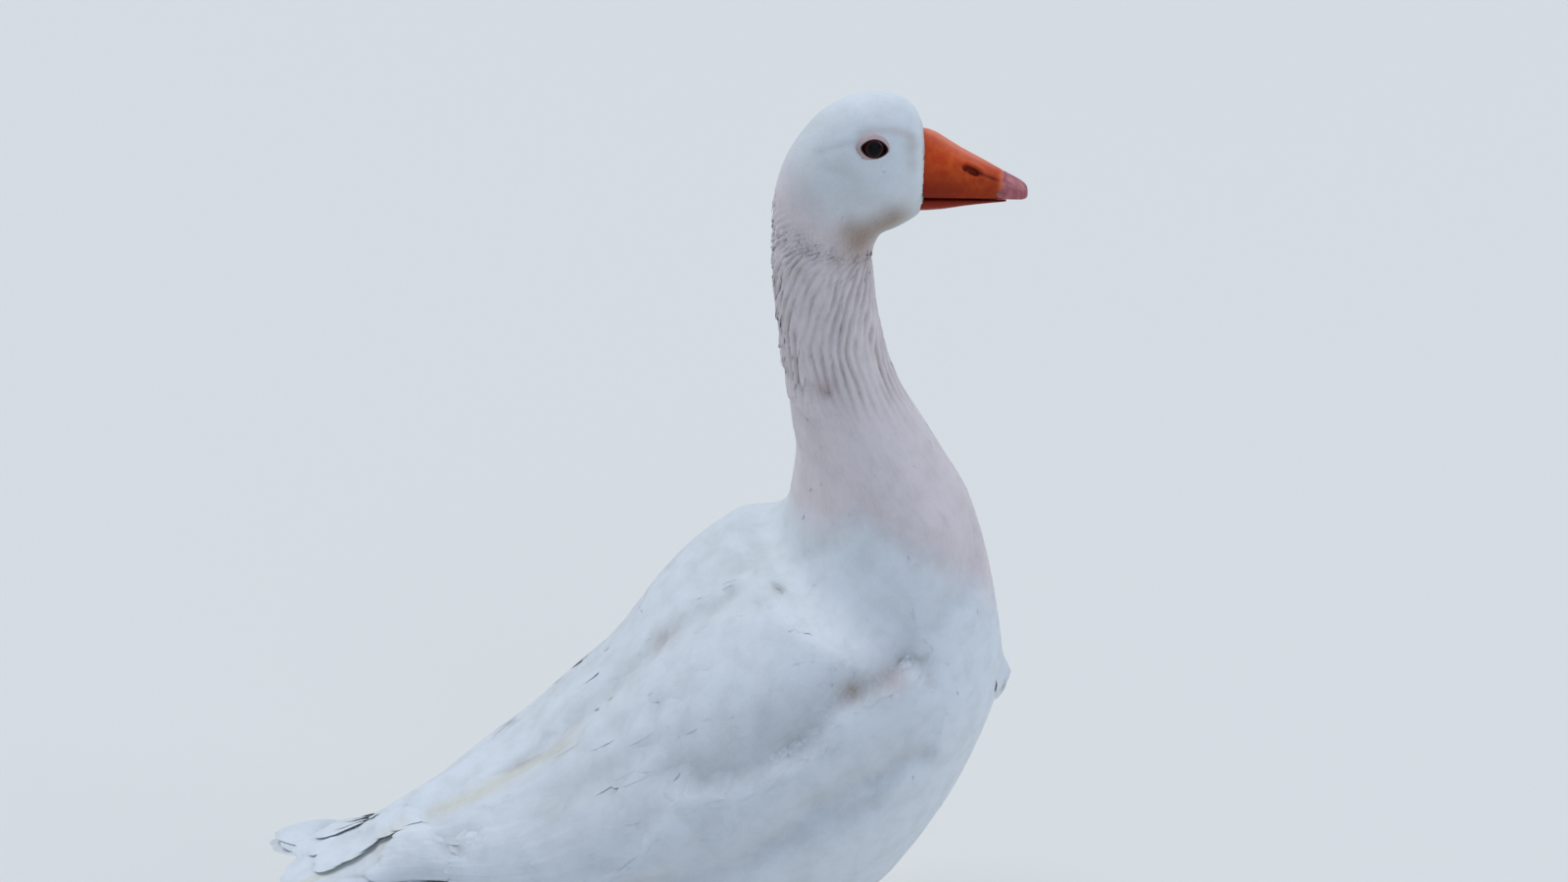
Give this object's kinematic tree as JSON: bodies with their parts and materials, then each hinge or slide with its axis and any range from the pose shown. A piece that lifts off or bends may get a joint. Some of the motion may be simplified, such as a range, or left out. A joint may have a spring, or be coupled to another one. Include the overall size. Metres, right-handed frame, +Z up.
{
  "type": "domestic goose, standing still model",
  "caption": "Standing white domestic goose, life size, upright neck, head in profile, orange bill, folded wings, short tail and webbed orange feet.",
  "frame": {"origin": "on the floor, below the middle of the bounding box", "axes": "+Z up, +X towards the breast and bill, +Y the goose's left side"},
  "size_m": [0.557, 0.2782, 0.816],
  "materials": {
    "feathers": "soft white feathers",
    "bill": "smooth orange horn, slightly waxy",
    "bill_nail": "pale pinkish horn",
    "eye": "wet dark brown eye",
    "leg_skin": "scaly orange skin",
    "claw": "worn horn"
  },
  "bodies": {
    "root": {"trunk": "feathers", "neck_lower": "feathers", "neck_upper": "feathers", "head": "feathers", "tail": "feathers", "wing_left": "feathers", "wing_right": "feathers", "thigh_left": "feathers", "thigh_right": "feathers", "bill_upper": "bill", "bill_lower": "bill", "bill_nail": "bill_nail", "eye_left": "eye", "eye_right": "eye", "shank_left": "leg_skin", "shank_right": "leg_skin", "foot_left": "leg_skin", "foot_right": "leg_skin", "claw_left_inner": "claw", "claw_left_middle": "claw", "claw_left_outer": "claw", "claw_left_hind": "claw", "claw_right_inner": "claw", "claw_right_middle": "claw", "claw_right_outer": "claw", "claw_right_hind": "claw"}
  },
  "joints": []
}
